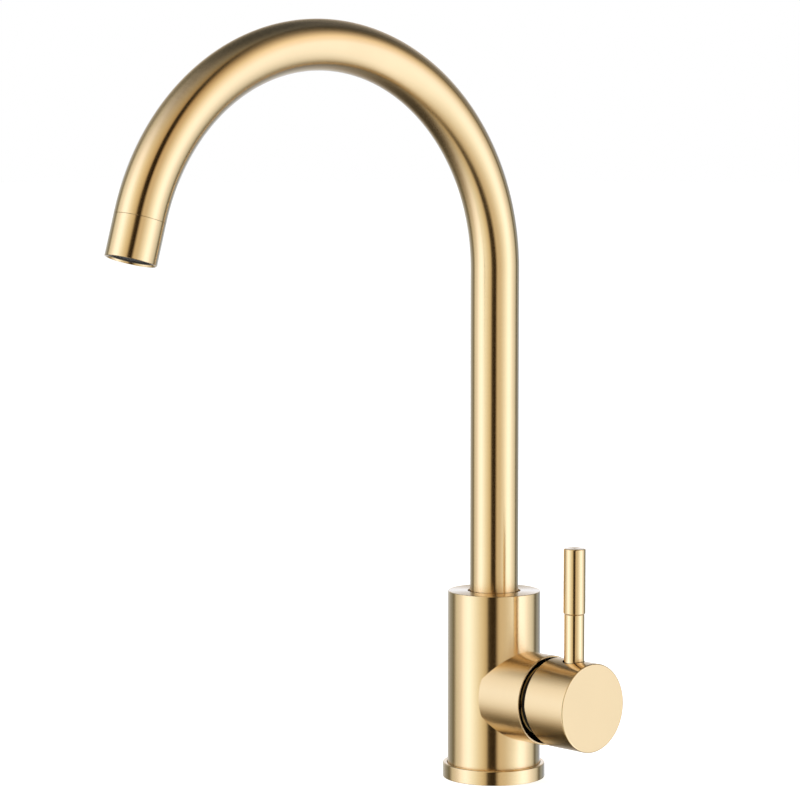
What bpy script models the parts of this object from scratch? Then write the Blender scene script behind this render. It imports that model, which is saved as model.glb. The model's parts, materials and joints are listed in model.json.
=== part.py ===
"""Single-lever kitchen mixer tap with a tall swivelling gooseneck spout.

Run with: blender --background --python part.py

Frame: the origin is the centre of the base's underside, on the deck. +Z is up,
+X runs along the side barrel towards the handle, and the spout reaches towards -Y.
Lengths are written in millimetres and scaled to metres when a mesh is made.
"""

from math import acos, asin, cos, pi, radians, sin, tan

import bmesh
import bpy
from mathutils import Matrix, Vector

MM = 0.001

# Driving dimensions, in millimetres unless the name says otherwise
GAP = 0.3  # clearance between neighbouring solids

BODY_R = 24.0
BODY_TOP = 97.0
BODY_WALL = 4.0
BODY_TOP_PLATE = 3.0
TOP_HOLE_R = 13.6

FLANGE_R = 26.5
FLANGE_HEIGHT = 7.5
FLANGE_SEAT = 4.3  # height of the step that the column stands on

BARREL_Z = 44.75  # height of the side barrel's axis
BARREL_R = 22.9
BARREL_BORE_R = 19.0
BARREL_FRONT = 40.25
MOUTH_R = 21.9  # the barrel's front end is bored out to a thin rim
MOUTH_DEPTH = 2.75

CAP_R = 22.5
CAP_REAR = 44.0
CAP_FRONT = 70.4
CAP_WALL = 2.5
CAP_FRONT_WALL = 6.4
CAP_RELIEF_DEG = 10.0  # slant of the rear edge below the axis, so that the cap can tilt
BOSS_R = 9.0  # the solid boss inside the cap, which the spindle plugs into
BOSS_REAR = 48.0
SPINDLE_FRONT = 61.0

LEVER_X = 57.2
SHANK_R = 5.15
SHANK_HOLE_R = 5.85
LEVER_PIN_R = 3.0  # the shank's thinner ends, which plug into the cap and the grip
LEVER_PIN_FOOT = 49.9
LEVER_PIN_TOP = 100.0
GRIP_R = 5.6
GRIP_BOTTOM = 91.0
GRIP_TOP = 124.2

SCREW_X = 55.0  # the set screw that clamps the spindle
SCREW_R = 2.3
PLUG_R = 2.8

SPOUT_R = 12.5
SPOUT_WALL = 1.1
SPOUT_BOTTOM = 82.0
ARC_CENTRE_Z = 263.0
ARC_R = 111.0
ARC_SWEEP_DEG = 164.8
OUTLET_STRAIGHT = 21.6
COLLAR_LENGTH = 20.0
SPOUT_REST_DEG = 266.3  # direction the spout points in, from +X towards +Y

PIVOT_X = 26.0  # the lever's tilting pin, inside the cartridge
PIVOT_PIN_R = 1.5
TIP_ARM = 8.6  # from the pin to the spindle's inner end

CARTRIDGE_R = 17.2
CARTRIDGE_REAR = 2.9
CARTRIDGE_FRONT = 33.0
HOUSING_WALL = 2.7
NUT_R = 18.7
NUT_BORE_R = 12.0
NUT_FRONT = 38.5
DOME_R = 21.0  # outside of the ring of a sphere that closes the gap behind the cap
DOME_WALL = 1.5

# Bores in the base, as (x, y)
HOT_PORT = (-8.0, 9.0)
COLD_PORT = (-8.0, -9.0)
STUD_SOCKET = (12.0, 0.0)
PORT_R = 5.0
PORT_DEPTH = 13.0
PIPE_R = 3.0
STUD_SOCKET_R = 4.0
STUD_SOCKET_DEPTH = 15.0
BASE_INSERT_TOP = 20.0
MANIFOLD_TOP = 62.0

# The spout's seat in the top of the column
SOCKET_BORE_R = 13.0
SOCKET_FLOOR = 65.6
CLIP_LOW = 75.3
CLIP_HIGH = 76.7
BUSHING_SEAT = 86.0
BUSHING_SEAT_R = 15.5
SPIGOT_R = 12.6
SPIGOT_FOOT = 66.3

# Water passages in the cartridge's seat: across, and above the barrel's axis
INLET_Y = 9.0
INLET_RISE = -4.75
INLET_R = 3.0
OUTLET_RISE = 7.25
OUTLET_R = 4.0
PASSAGE_X = -8.0

INNER_R = BODY_R - BODY_WALL - GAP  # what fits inside the column

FINE = 40  # sides of the outer round pieces
MEDIUM = 28
COARSE = 20
HOLE_SIDES = 12
PIPE_SIDES = 28
ARC_STEPS = 30


def clear_scene():
    for obj in list(bpy.data.objects):
        bpy.data.objects.remove(obj, do_unlink=True)


def make_material(name, colour, roughness, metallic):
    material = bpy.data.materials.new(name)
    material.use_nodes = True
    shader = material.node_tree.nodes["Principled BSDF"]
    shader.inputs["Base Color"].default_value = (*colour, 1.0)
    shader.inputs["Roughness"].default_value = roughness
    shader.inputs["Metallic"].default_value = metallic
    return material


# Finishes, as (colour, roughness, metallic)
FINISHES = {
    "brushed_gold": ((0.78, 0.60, 0.34), 0.30, 1.0),
    "brass": ((0.80, 0.62, 0.30), 0.35, 1.0),
    "copper": ((0.85, 0.45, 0.30), 0.35, 1.0),
    "steel": ((0.62, 0.62, 0.60), 0.30, 1.0),
    "ceramic": ((0.90, 0.90, 0.87), 0.20, 0.0),
    "white_plastic": ((0.85, 0.85, 0.82), 0.45, 0.0),
    "black_plastic": ((0.03, 0.03, 0.03), 0.50, 0.0),
    "rubber": ((0.02, 0.02, 0.02), 0.80, 0.0),
}


def add_object(name, bm, finish, parent=None, location=(0, 0, 0), rotation=(0, 0, 0)):
    """Turns a bmesh in millimetres into a named object, shaded smooth, with its own material."""
    bmesh.ops.scale(bm, vec=(MM, MM, MM), verts=bm.verts)
    mesh = bpy.data.meshes.new(name)
    bm.to_mesh(mesh)
    bm.free()
    mesh.shade_smooth()
    mesh.set_sharp_from_angle(angle=radians(30))
    mesh.materials.append(make_material(name, *FINISHES[finish]))
    obj = bpy.data.objects.new(name, mesh)
    bpy.context.scene.collection.objects.link(obj)
    obj.parent = parent
    obj.location = Vector(location) * MM
    obj.rotation_euler = rotation
    return obj


def add_empty(name, parent=None, location=(0, 0, 0), rotation=(0, 0, 0)):
    empty = bpy.data.objects.new(name, None)
    empty.empty_display_size = 0.02
    bpy.context.scene.collection.objects.link(empty)
    empty.parent = parent
    empty.location = Vector(location) * MM
    empty.rotation_euler = rotation
    return empty


def turned_mesh(outline, sides, sweep=2 * pi):
    """Spins a closed outline of (radius, height) points about Z. A point at radius 0 is a pole."""
    bm = bmesh.new()
    corners = [bm.verts.new((radius, 0, height)) for radius, height in outline]
    edges = []
    for start, end in zip(corners, corners[1:] + corners[:1]):
        if start.co.x > 0 or end.co.x > 0:
            edges.append(bm.edges.new((start, end)))
    full = sweep == 2 * pi
    made = bmesh.ops.spin(
        bm,
        geom=corners + edges,
        cent=(0, 0, 0),
        axis=(0, 0, 1),
        angle=sweep,
        steps=sides,
        use_merge=full,
    )
    if not full:
        bm.faces.new(corners)
        last_edges = [item for item in made["geom_last"] if isinstance(item, bmesh.types.BMEdge)]
        bmesh.ops.contextual_create(bm, geom=last_edges)
    bmesh.ops.remove_doubles(bm, verts=bm.verts, dist=1e-4)
    bmesh.ops.recalc_face_normals(bm, faces=bm.faces)
    return bm


def turned(name, outline, finish, sides=MEDIUM, **place):
    return add_object(name, turned_mesh(outline, sides), finish, **place)


def ring_outline(inner, outer, low, high):
    return [(inner, low), (outer, low), (outer, high), (inner, high)]


def ring(name, inner, outer, low, high, finish, sides=COARSE, **place):
    return turned(name, ring_outline(inner, outer, low, high), finish, sides, **place)


def o_ring(name, middle_r, section_r, height, finish="rubber", **place):
    """A ring with an eight-sided section, whose middle circle has radius middle_r."""
    outline = []
    for step in range(8):
        turn = 2 * pi * (step + 0.5) / 8
        outline.append((middle_r + section_r * cos(turn), height + section_r * sin(turn)))
    return turned(name, outline, finish, COARSE, **place)


def rod_mesh(radius, low, high, sides=HOLE_SIDES, centre=(0, 0), along="Z"):
    """A plain cylinder from low to high along an axis, at centre in the other two, in their order."""
    bm = turned_mesh([(0, low), (radius, low), (radius, high), (0, high)], sides)
    if along == "X":
        turn = Matrix(((0, 0, 1), (1, 0, 0), (0, 1, 0)))
        shift = (0, *centre)
    elif along == "Y":
        turn = Matrix(((0, 1, 0), (0, 0, 1), (1, 0, 0)))
        shift = (centre[0], 0, centre[1])
    else:
        turn = Matrix.Identity(3)
        shift = (*centre, 0)
    bmesh.ops.transform(bm, matrix=turn.to_4x4(), verts=bm.verts)
    bmesh.ops.translate(bm, vec=shift, verts=bm.verts)
    return bm


def box_mesh(low, high):
    bm = bmesh.new()
    size = Vector(high) - Vector(low)
    middle = (Vector(high) + Vector(low)) / 2
    bmesh.ops.create_cube(bm, size=1.0, matrix=Matrix.Translation(middle) @ Matrix.Diagonal((*size, 1)))
    return bm


def boolean(obj, bm, operation="DIFFERENCE"):
    """Cuts or joins a bmesh in the object's own frame, through a hidden helper."""
    bmesh.ops.scale(bm, vec=(MM, MM, MM), verts=bm.verts)
    number = len(obj.modifiers) + 1
    mesh = bpy.data.meshes.new(f"{obj.name}_helper_{number}")
    bm.to_mesh(mesh)
    bm.free()
    helper = bpy.data.objects.new(mesh.name, mesh)
    bpy.context.scene.collection.objects.link(helper)
    helper.parent = obj
    helper.hide_render = True
    helper.display_type = "WIRE"
    modifier = obj.modifiers.new(f"{operation.title()} {number}", "BOOLEAN")
    modifier.operation = operation
    modifier.solver = "EXACT"
    modifier.object = helper


def bar(name, stations, finish, **place):
    """A square bar along X through stations of (x, half width, half height)."""
    bm = bmesh.new()
    loops = []
    for x, half_y, half_z in stations:
        corners = ((-half_y, -half_z), (half_y, -half_z), (half_y, half_z), (-half_y, half_z))
        loops.append([bm.verts.new((x, y, z)) for y, z in corners])
    bm.faces.new(reversed(loops[0]))
    bm.faces.new(loops[-1])
    for first, second in zip(loops, loops[1:]):
        for side in range(4):
            after = (side + 1) % 4
            bm.faces.new((first[side], first[after], second[after], second[side]))
    bmesh.ops.recalc_face_normals(bm, faces=bm.faces)
    return add_object(name, bm, finish, **place)


# The column, its foot and what is inside the column


def make_body_shell():
    foot, bore, under_plate, edge = FLANGE_SEAT + GAP, BODY_R - BODY_WALL, BODY_TOP - BODY_TOP_PLATE, 0.4
    shell = turned(
        "body_shell",
        [
            (bore, foot),
            (BODY_R, foot),
            (BODY_R, BODY_TOP - edge),
            (BODY_R - edge, BODY_TOP),
            (TOP_HOLE_R + edge, BODY_TOP),
            (TOP_HOLE_R, BODY_TOP - edge),
            (TOP_HOLE_R, under_plate),
            (bore, under_plate),
        ],
        "brushed_gold",
        FINE,
    )
    axis = (0, BARREL_Z)
    boolean(shell, rod_mesh(BARREL_R, bore / 2, BARREL_FRONT, FINE, axis, "X"), "UNION")
    boolean(shell, rod_mesh(bore, foot - 1, under_plate, FINE))
    boolean(shell, rod_mesh(BARREL_BORE_R, 0, BARREL_FRONT + 5, FINE, axis, "X"))
    boolean(shell, rod_mesh(MOUTH_R, BARREL_FRONT - MOUTH_DEPTH, BARREL_FRONT + 5, FINE, axis, "X"))


def make_foot():
    groove_in, groove_out, groove_depth, edge = 21.5, 25.0, 1.6, 0.5
    turned(
        "base_flange",
        [
            (INNER_R + 2 * GAP, 0),
            (groove_in, 0),
            (groove_in, groove_depth),
            (groove_out, groove_depth),
            (groove_out, 0),
            (FLANGE_R, 0),
            (FLANGE_R, FLANGE_HEIGHT - edge),
            (FLANGE_R - edge, FLANGE_HEIGHT),
            (BODY_R + GAP, FLANGE_HEIGHT),
            (BODY_R + GAP, FLANGE_SEAT),
            (INNER_R + 2 * GAP, FLANGE_SEAT),
        ],
        "brushed_gold",
        FINE,
    )
    ring("base_gasket", groove_in + GAP, groove_out - GAP, 0, groove_depth - GAP, "rubber", FINE)
    insert = turned(
        "base_insert",
        [(0, 0), (INNER_R, 0), (INNER_R, BASE_INSERT_TOP), (0, BASE_INSERT_TOP)],
        "brass",
        FINE,
    )
    for port in (HOT_PORT, COLD_PORT):
        boolean(insert, rod_mesh(PORT_R, -1, PORT_DEPTH, HOLE_SIDES, port))
        boolean(insert, rod_mesh(PIPE_R + GAP, PORT_DEPTH - 1, BASE_INSERT_TOP + 1, HOLE_SIDES, port))
    boolean(insert, rod_mesh(STUD_SOCKET_R, -1, STUD_SOCKET_DEPTH, HOLE_SIDES, STUD_SOCKET))


def make_inlet_pipes():
    wall, low, high = 0.8, PORT_DEPTH + 1, 36.0
    for name, (x, y) in (("hot_inlet_tube", HOT_PORT), ("cold_inlet_tube", COLD_PORT)):
        ring(name, PIPE_R - wall, PIPE_R, low, high, "copper", HOLE_SIDES, location=(x, y, 0))


def make_manifold():
    """The D-shaped block behind the cartridge, which takes both inlets and sends mixed water up."""
    low, high, face = 30.0, MANIFOLD_TOP, 2.5
    block = turned("mixing_manifold", [(0, low), (INNER_R, low), (INNER_R, high), (0, high)], "brass")
    boolean(block, box_mesh((face, -30, low - 5), (30, 30, high + 5)))
    inlet_z = BARREL_Z + INLET_RISE
    outlet_z = BARREL_Z + OUTLET_RISE
    for y in (INLET_Y, -INLET_Y):
        boolean(block, rod_mesh(PIPE_R + GAP, low - 1, inlet_z + 2, HOLE_SIDES, (PASSAGE_X, y)))
        boolean(block, rod_mesh(INLET_R, PASSAGE_X, face + 1, HOLE_SIDES, (y, inlet_z), "X"))
    boolean(block, rod_mesh(OUTLET_R, outlet_z - 2, high + 1, HOLE_SIDES, (PASSAGE_X, 0)))
    boolean(block, rod_mesh(OUTLET_R, PASSAGE_X, face + 1, HOLE_SIDES, (0, outlet_z), "X"))


def make_spout_socket():
    low, top = MANIFOLD_TOP + 2 * GAP, BODY_TOP - BODY_TOP_PLATE - GAP
    groove_r = SOCKET_BORE_R + 1.4
    socket = turned(
        "spout_socket",
        [
            (0, low),
            (INNER_R, low),
            (INNER_R, top),
            (BUSHING_SEAT_R, top),
            (BUSHING_SEAT_R, BUSHING_SEAT),
            (SOCKET_BORE_R, BUSHING_SEAT),
            (SOCKET_BORE_R, CLIP_HIGH),
            (groove_r, CLIP_HIGH),
            (groove_r, CLIP_LOW),
            (SOCKET_BORE_R, CLIP_LOW),
            (SOCKET_BORE_R, SOCKET_FLOOR),
            (0, SOCKET_FLOOR),
        ],
        "brass",
    )
    boolean(socket, rod_mesh(OUTLET_R, low - 1, SOCKET_FLOOR + 1, HOLE_SIDES, (PASSAGE_X, 0)))
    bore, shoulder, lip = SPOUT_R + GAP, BODY_TOP - 3.6, BODY_TOP - 1.6
    turned(
        "spout_bushing",
        [
            (bore, BUSHING_SEAT + GAP),
            (BUSHING_SEAT_R - GAP, BUSHING_SEAT + GAP),
            (BUSHING_SEAT_R - GAP, shoulder),
            (TOP_HOLE_R - GAP, shoulder),
            (TOP_HOLE_R - GAP, lip),
            (bore, lip),
        ],
        "black_plastic",
    )
    opening = radians(30)
    section = ring_outline(SOCKET_BORE_R - 1.0, groove_r - GAP, CLIP_LOW + GAP, CLIP_HIGH - GAP)
    add_object("spout_retaining_ring", turned_mesh(section, COARSE, 2 * pi - opening), "steel")


# The cartridge, on the barrel's axis. Its turned pieces run along their own Z, which is the row's X.


def barrel_turned(name, outline, finish, sides=MEDIUM, parent=None):
    """A piece turned about the barrel's axis, with heights in its outline measured along X."""
    lies_along_x = (0, pi / 2, 0)
    if parent is None:
        return turned(name, outline, finish, sides, location=(0, 0, BARREL_Z), rotation=lies_along_x)
    from_parent = [(radius, x - PIVOT_X) for radius, x in outline]
    return turned(name, from_parent, finish, sides, parent=parent, rotation=lies_along_x)


def passages():
    """Each water passage through the cartridge: name, across, above the axis, and radius."""
    return (
        ("hot_inlet_seal", INLET_Y, INLET_RISE, INLET_R),
        ("cold_inlet_seal", -INLET_Y, INLET_RISE, INLET_R),
        ("outlet_seal", 0.0, OUTLET_RISE, OUTLET_R),
    )


def make_cartridge_base_and_disc():
    """The fixed end of the cartridge, whose three passages run on through the ceramic disc."""
    thickness, seal_depth, seal_width = 3.5, 1.4, 1.3
    base_front = CARTRIDGE_REAR + thickness
    disc_r, disc_rear, disc_front = 14.0, base_front + GAP, 10.2
    base = barrel_turned(
        "cartridge_base",
        [(0, CARTRIDGE_REAR), (CARTRIDGE_R, CARTRIDGE_REAR), (CARTRIDGE_R, base_front), (0, base_front)],
        "white_plastic",
    )
    disc = barrel_turned(
        "fixed_ceramic_disc",
        [(0, disc_rear), (disc_r, disc_rear), (disc_r, disc_front), (0, disc_front)],
        "ceramic",
    )
    for name, across, rise, radius in passages():
        # In a barrel piece's own frame, above the axis is its -X.
        centre = (-rise, across)
        seal_r = radius + GAP + seal_width
        boolean(base, rod_mesh(radius, CARTRIDGE_REAR - 1, base_front + 1, HOLE_SIDES, centre))
        seal_seat = CARTRIDGE_REAR + seal_depth
        boolean(base, rod_mesh(seal_r + GAP, CARTRIDGE_REAR - 1, seal_seat, HOLE_SIDES, centre))
        boolean(disc, rod_mesh(radius, disc_rear - 1, disc_front + 1, HOLE_SIDES, centre))
        turned(
            name,
            ring_outline(radius + GAP, seal_r, 0, seal_depth - GAP),
            "rubber",
            HOLE_SIDES,
            location=(CARTRIDGE_REAR, across, BARREL_Z + rise),
            rotation=(0, pi / 2, 0),
        )


def make_cartridge_housing():
    rear, lip, lip_r = 6.7, 3.0, 11.0
    inside = CARTRIDGE_R - HOUSING_WALL
    barrel_turned(
        "cartridge_housing",
        [
            (inside, rear),
            (CARTRIDGE_R, rear),
            (CARTRIDGE_R, CARTRIDGE_FRONT),
            (lip_r, CARTRIDGE_FRONT),
            (lip_r, CARTRIDGE_FRONT - lip),
            (inside, CARTRIDGE_FRONT - lip),
        ],
        "white_plastic",
    )
    nut_rear, edge, slot_half, slot_depth = CARTRIDGE_FRONT + 0.4, 0.5, 1.6, 2.0
    nut = barrel_turned(
        "cartridge_nut",
        [
            (NUT_BORE_R, nut_rear),
            (NUT_R, nut_rear),
            (NUT_R, NUT_FRONT - edge),
            (NUT_R - edge, NUT_FRONT),
            (NUT_BORE_R, NUT_FRONT),
        ],
        "brass",
    )
    for turn in range(2):
        slot = box_mesh((-30, -slot_half, NUT_FRONT - slot_depth), (30, slot_half, NUT_FRONT + 1))
        bmesh.ops.rotate(slot, verts=slot.verts, matrix=Matrix.Rotation(turn * pi / 2, 3, "Z"))
        boolean(nut, slot)


def dome_arc(radius, foot_x, hole_r, steps=5):
    """Points of a circle centred on the tilting pin, from a foot at foot_x to the hole's edge."""
    foot_turn = acos((foot_x - PIVOT_X) / radius)
    hole_turn = asin(hole_r / radius)
    points = []
    for step in range(steps + 1):
        turn = foot_turn + (hole_turn - foot_turn) * step / steps
        points.append((radius * sin(turn), PIVOT_X + radius * cos(turn)))
    return points


def make_cartridge_dome():
    """A ring of a sphere centred on the tilting pin, which closes the gap behind the cap."""
    rim_r, rim_rear, rim_height, hole_r = 18.6, NUT_FRONT + GAP, 1.0, 12.2
    outside = dome_arc(DOME_R, rim_rear + rim_height, hole_r)
    inside = dome_arc(DOME_R - DOME_WALL, rim_rear, hole_r)
    rim = [(rim_r, rim_rear), (rim_r, rim_rear + rim_height)]
    barrel_turned("cartridge_dome", rim + outside + inside[::-1], "black_plastic")


def make_cartridge_turret(temperature_axis):
    """What turns with the lever: a drum held in the housing, with a slot for the spindle."""
    drum_r, drum_rear, neck_r, front = 14.2, 19.5, 10.7, 34.0
    shoulder = CARTRIDGE_FRONT - 3.0 - GAP
    slot_half_z, slot_half_y, pin_length = 7.5, 3.6, 26.8
    turret = turned(
        "cartridge_turret",
        [
            (0, drum_rear),
            (drum_r, drum_rear),
            (drum_r, shoulder),
            (neck_r, shoulder),
            (neck_r, front),
            (0, front),
        ],
        "white_plastic",
        parent=temperature_axis,
        rotation=(0, pi / 2, 0),
    )
    slot_low, slot_high = (-slot_half_z, -slot_half_y, drum_rear - 5), (slot_half_z, slot_half_y, front + 5)
    boolean(turret, box_mesh(slot_low, slot_high))
    boolean(turret, rod_mesh(PIVOT_PIN_R + GAP, -20, 20, HOLE_SIDES, (0, PIVOT_X), "Y"))
    half = pin_length / 2
    turned(
        "lever_pivot_pin",
        [(0, -half), (PIVOT_PIN_R, -half), (PIVOT_PIN_R, half), (0, half)],
        "steel",
        HOLE_SIDES,
        parent=temperature_axis,
        location=(PIVOT_X, 0, 0),
        rotation=(pi / 2, 0, 0),
    )


def make_sliding_disc(slide):
    """The ceramic disc that the lever slides over the fixed one, and the carrier that drives it."""
    disc_r, disc_rear, disc_front = 10.5, 10.5, 13.5
    pocket_r, pocket_depth = 7.0, 1.5
    disc = turned(
        "moving_ceramic_disc",
        [(0, disc_rear), (disc_r, disc_rear), (disc_r, disc_front), (0, disc_front)],
        "ceramic",
        parent=slide,
        rotation=(0, pi / 2, 0),
    )
    boolean(disc, rod_mesh(pocket_r, disc_rear - 1, disc_rear + pocket_depth, COARSE))
    # The front stays clear of the spindle's blade when the lever is tilted all the way.
    carrier_r, rear, front = 10.2, disc_front + GAP, 18.9
    slot_half_z, slot_half_y, slot_floor = 3.2, 2.7, 14.8
    carrier = turned(
        "disc_carrier",
        [(0, rear), (carrier_r, rear), (carrier_r, front), (0, front)],
        "white_plastic",
        parent=slide,
        rotation=(0, pi / 2, 0),
    )
    slot_low = (-slot_half_z, -slot_half_y, slot_floor)
    boolean(carrier, box_mesh(slot_low, (slot_half_z, slot_half_y, front + 2)))


# The handle, whose pieces hang from the tilting pin


def make_spindle(flow_axis):
    tip = -TIP_ARM
    blade_start, blade_end = tip + 2.8, 21.5
    spindle = bar(
        "lever_spindle",
        [
            (tip - 2.2, 1.0, 1.0),
            (tip - 1.4, 2.0, 2.0),
            (tip, 2.3, 2.3),
            (tip + 1.2, 2.0, 2.0),
            (tip + 2.0, 2.0, 2.0),
            (blade_start, 3.2, 3.5),
            (blade_end, 3.2, 3.5),
            (blade_end + 0.1, 4.2, 4.2),
            (SPINDLE_FRONT - PIVOT_X, 4.2, 4.2),
        ],
        "brass",
        parent=flow_axis,
    )
    boolean(spindle, rod_mesh(PIVOT_PIN_R + GAP, -10, 10, HOLE_SIDES, (0, 0), "Y"))


def relief_wedge():
    """Everything behind a plane that leans from the cap's axis to its lower rear edge."""
    wedge = bmesh.new()
    reach, half_width, behind = 30.0, 40.0, 5.0
    slope = tan(radians(CAP_RELIEF_DEG))
    rear = CAP_REAR - PIVOT_X
    side = [(0, rear), (reach, rear + reach * slope), (reach, rear - behind), (0, rear - behind)]
    near = [wedge.verts.new((x, -half_width, z)) for x, z in side]
    far = [wedge.verts.new((x, half_width, z)) for x, z in side]
    wedge.faces.new(near)
    wedge.faces.new(reversed(far))
    for first in range(4):
        after = (first + 1) % 4
        wedge.faces.new((near[first], far[first], far[after], near[after]))
    bmesh.ops.recalc_face_normals(wedge, faces=wedge.faces)
    return wedge


def make_handle_cap(flow_axis):
    chamfer, rim, socket_half = 0.6, 0.35, 4.5
    cavity_end = CAP_FRONT - CAP_FRONT_WALL
    cap = barrel_turned(
        "handle_cap",
        [
            (0, BOSS_REAR),
            (BOSS_R, BOSS_REAR),
            (BOSS_R, cavity_end),
            (CAP_R - CAP_WALL, cavity_end),
            (CAP_R - CAP_WALL, CAP_REAR),
            (CAP_R - rim, CAP_REAR),
            (CAP_R, CAP_REAR + rim),
            (CAP_R, CAP_FRONT - chamfer),
            (CAP_R - chamfer, CAP_FRONT),
            (0, CAP_FRONT),
        ],
        "brushed_gold",
        FINE,
        parent=flow_axis,
    )
    boolean(cap, relief_wedge())
    socket_rear, socket_front = BOSS_REAR - PIVOT_X - 5, SPINDLE_FRONT + GAP - PIVOT_X
    socket_low, socket_high = (-socket_half, -socket_half, socket_rear), (socket_half, socket_half, socket_front)
    boolean(cap, box_mesh(socket_low, socket_high))
    # Across the cap, its own -X is up.
    lever_at = (0, LEVER_X - PIVOT_X)
    boolean(cap, rod_mesh(SHANK_HOLE_R, -30, -15, COARSE, lever_at, "X"))
    boolean(cap, rod_mesh(LEVER_PIN_R + GAP, -16, 0, HOLE_SIDES, lever_at, "X"))
    screw_at = (0, SCREW_X - PIVOT_X)
    boolean(cap, rod_mesh(SCREW_R + GAP, 0, 16, HOLE_SIDES, screw_at, "X"))
    boolean(cap, rod_mesh(PLUG_R + GAP, 15, 30, HOLE_SIDES, screw_at, "X"))


def make_set_screw(flow_axis):
    """The screw that clamps the spindle from below, and the plug that covers its hole."""
    at = (SCREW_X - PIVOT_X, 0, 0)
    foot, top, point, hex_r, hex_depth = -8.7, -4.9, 0.3, 1.3, 2.3
    screw = turned(
        "handle_grub_screw",
        [(0, foot), (SCREW_R - point, foot), (SCREW_R, foot + point), (SCREW_R, top), (0, top)],
        "steel",
        HOLE_SIDES,
        parent=flow_axis,
        location=at,
    )
    boolean(screw, rod_mesh(hex_r, foot - 2, foot + hex_depth, 6))
    low, high, crown, crown_r = -22.1, -19.6, 0.2, 2.0
    turned(
        "grub_screw_plug",
        [(0, low), (crown_r, low), (PLUG_R, low + crown), (PLUG_R, high), (0, high)],
        "rubber",
        HOLE_SIDES,
        parent=flow_axis,
        location=at,
    )


def make_lever(flow_axis):
    at = (LEVER_X - PIVOT_X, 0, -BARREL_Z)
    step = BARREL_Z + CAP_R - CAP_WALL - 0.2
    turned(
        "lever_shank",
        [
            (0, LEVER_PIN_FOOT),
            (LEVER_PIN_R, LEVER_PIN_FOOT),
            (LEVER_PIN_R, step),
            (SHANK_R, step),
            (SHANK_R, GRIP_BOTTOM),
            (LEVER_PIN_R, GRIP_BOTTOM),
            (LEVER_PIN_R, LEVER_PIN_TOP),
            (0, LEVER_PIN_TOP),
        ],
        "brushed_gold",
        MEDIUM,
        parent=flow_axis,
        location=at,
    )
    low, edge, bore, bore_top = GRIP_BOTTOM + GAP, 0.45, LEVER_PIN_R + GAP, LEVER_PIN_TOP + 0.5
    turned(
        "lever_grip",
        [
            (bore, low),
            (GRIP_R - edge, low),
            (GRIP_R, low + edge),
            (GRIP_R, GRIP_TOP - edge),
            (GRIP_R - edge, GRIP_TOP),
            (0, GRIP_TOP),
            (0, bore_top),
            (bore, bore_top),
        ],
        "brushed_gold",
        MEDIUM,
        parent=flow_axis,
        location=at,
    )


# The spout, which turns on the column's axis. In its own frame it reaches towards +X.


def spout_stations(start_height, end_straight):
    """Points and directions along the spout's middle line, from its foot to the collar."""
    sweep = radians(ARC_SWEEP_DEG)
    stations = [(Vector((0, 0, start_height)), Vector((0, 0, 1)))]
    for step in range(ARC_STEPS + 1):
        turn = sweep * step / ARC_STEPS
        point = Vector((ARC_R * (1 - cos(turn)), 0, ARC_CENTRE_Z + ARC_R * sin(turn)))
        stations.append((point, Vector((sin(turn), 0, cos(turn)))))
    point, direction = stations[-1]
    stations.append((point + direction * end_straight, direction))
    return stations


def make_spout_tube(swivel_axis):
    seam = OUTLET_STRAIGHT - COLLAR_LENGTH - GAP
    bm = bmesh.new()
    walls = []
    across = Vector((0, 1, 0))
    stations = spout_stations(SPOUT_BOTTOM, seam)
    for radius in (SPOUT_R, SPOUT_R - SPOUT_WALL):
        loops = []
        for point, direction in stations:
            out = across.cross(direction)
            loop = []
            for side in range(PIPE_SIDES):
                turn = 2 * pi * side / PIPE_SIDES
                loop.append(bm.verts.new(point + radius * (cos(turn) * out + sin(turn) * across)))
            loops.append(loop)
        walls.append(loops)
    outer, inner = walls
    rings = outer + inner[::-1] + outer[:1]
    for first, second in zip(rings, rings[1:]):
        for side in range(PIPE_SIDES):
            after = (side + 1) % PIPE_SIDES
            bm.faces.new((first[side], first[after], second[after], second[side]))
    bmesh.ops.recalc_face_normals(bm, faces=bm.faces)
    add_object("spout_tube", bm, "brushed_gold", parent=swivel_axis)


def make_spigot(swivel_axis):
    """The brass end that turns in the socket, with its two O-rings and its wear ring."""
    bore, neck_top, ring_middle_r, ring_section_r = 8.5, 94.0, 12.1, 0.7
    ring_floor, clip_floor = 11.1, 11.7
    neck = SPOUT_R - SPOUT_WALL - GAP
    lower_ring, upper_ring, wear_ring = (67.5, 70.1), (71.5, 74.1), (78.0, 81.0)
    clip = (CLIP_LOW - 0.1, CLIP_HIGH + 0.1)
    outline = [(bore, SPIGOT_FOOT), (SPIGOT_R, SPIGOT_FOOT)]
    for (low, high), floor in (
        (lower_ring, ring_floor),
        (upper_ring, ring_floor),
        (clip, clip_floor),
        (wear_ring, ring_floor),
    ):
        outline += [(SPIGOT_R, low), (floor, low), (floor, high), (SPIGOT_R, high)]
    shoulder = SPOUT_BOTTOM - GAP
    outline += [(SPIGOT_R, shoulder), (neck, shoulder), (neck, neck_top), (bore, neck_top)]
    turned("spout_spigot", outline, "brass", MEDIUM, parent=swivel_axis)
    for name, groove in (("spout_o_ring_lower", lower_ring), ("spout_o_ring_upper", upper_ring)):
        o_ring(name, ring_middle_r, ring_section_r, sum(groove) / 2, parent=swivel_axis)
    low, high, outer = wear_ring[0] + GAP, wear_ring[1] - GAP, SPIGOT_R + 0.15
    ring("spout_wear_ring", ring_floor + GAP, outer, low, high, "white_plastic", MEDIUM, parent=swivel_axis)


def outlet_frame(swivel_axis):
    """An empty at the centre of the outlet, whose Z runs back up the spout."""
    point = spout_stations(SPOUT_BOTTOM, OUTLET_STRAIGHT)[-1][0]
    return add_empty("outlet_axis", swivel_axis, point, (0, radians(ARC_SWEEP_DEG) + pi, 0))


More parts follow.
